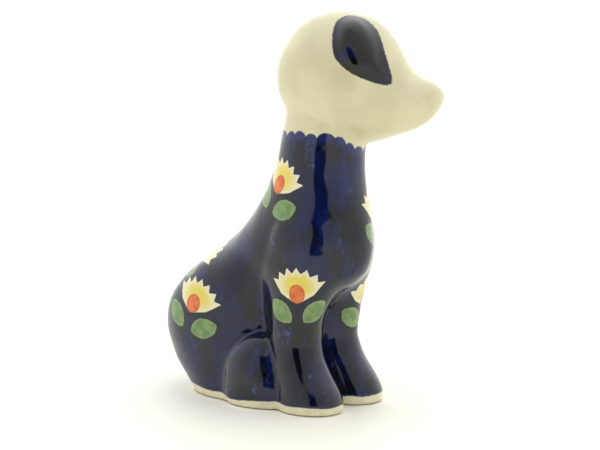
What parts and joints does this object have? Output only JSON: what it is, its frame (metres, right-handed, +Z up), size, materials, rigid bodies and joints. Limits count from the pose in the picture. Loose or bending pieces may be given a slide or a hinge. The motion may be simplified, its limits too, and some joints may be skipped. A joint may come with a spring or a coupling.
{
  "type": "ceramic dog figurine",
  "caption": "Hollow glazed stoneware figurine of a sitting puppy with its head turned, cream head, cobalt body and stamped flowers, standing on a flat floor slab.",
  "frame": {"origin": "on the resting plane, under the middle of the body, on the floor slab's underside", "axes": "+Z up, the puppy's body faces -Y, its left side is +X; its head is turned 36 degrees towards +X"},
  "size_m": [0.0591, 0.1064, 0.15],
  "materials": {
    "cobalt_glaze": "clear gloss glaze over sponged cobalt with stamped yellow, orange and green flowers",
    "cream_glaze": "clear gloss glaze over bare cream stoneware with fine specks",
    "navy_glaze": "clear gloss glaze over brushed dark cobalt",
    "bare_stoneware": "unglazed fired stoneware, slightly rough"
  },
  "bodies": {
    "root": {"torso_shell": "cobalt_glaze", "head_shell": "cream_glaze", "right_ear": "navy_glaze", "left_ear": "navy_glaze", "right_foreleg": "cobalt_glaze", "left_foreleg": "cobalt_glaze", "right_haunch": "cobalt_glaze", "left_haunch": "cobalt_glaze", "right_hind_foot": "cobalt_glaze", "left_hind_foot": "cobalt_glaze", "tail": "cobalt_glaze", "base_plate": "bare_stoneware"}
  },
  "joints": []
}
